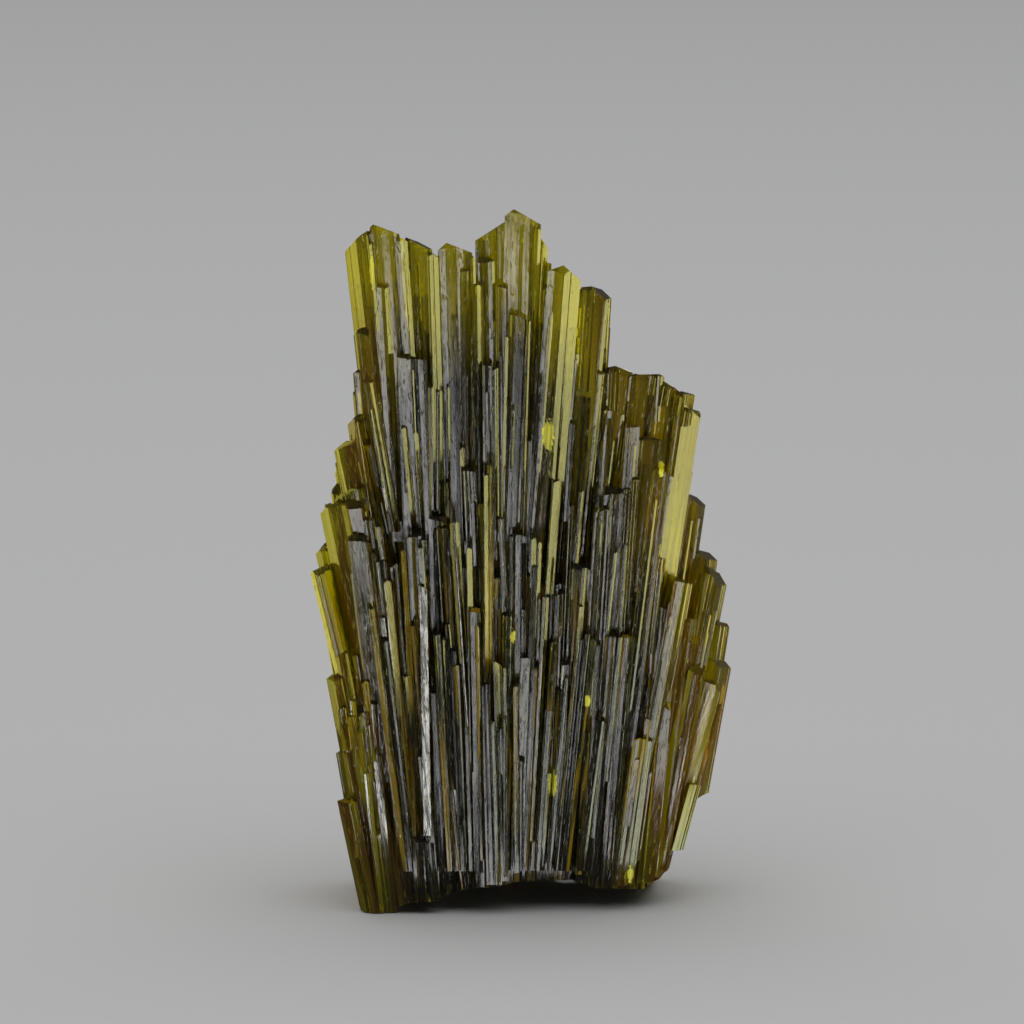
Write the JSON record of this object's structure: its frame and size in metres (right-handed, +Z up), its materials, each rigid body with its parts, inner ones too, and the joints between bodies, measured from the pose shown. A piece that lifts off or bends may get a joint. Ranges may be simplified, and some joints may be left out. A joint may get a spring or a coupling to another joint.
{
  "type": "epidote crystal cluster",
  "caption": "Upright fan of intergrown, striated prismatic crystals, flat broken foot below, stepped slanted crystal heads above; a loose mineral specimen that stands on its foot.",
  "frame": {"origin": "centre of the cluster's footprint box, on the surface that it stands on", "axes": "+Z up along the crystals, from the foot to the crown; +X to the right as the cluster is seen from its front; +Y from the front to the back"},
  "size_m": [0.0412, 0.0222, 0.0704],
  "materials": {
    "epidote": "gloss"
  },
  "bodies": {
    "root": {"crystals": "epidote"}
  },
  "joints": []
}
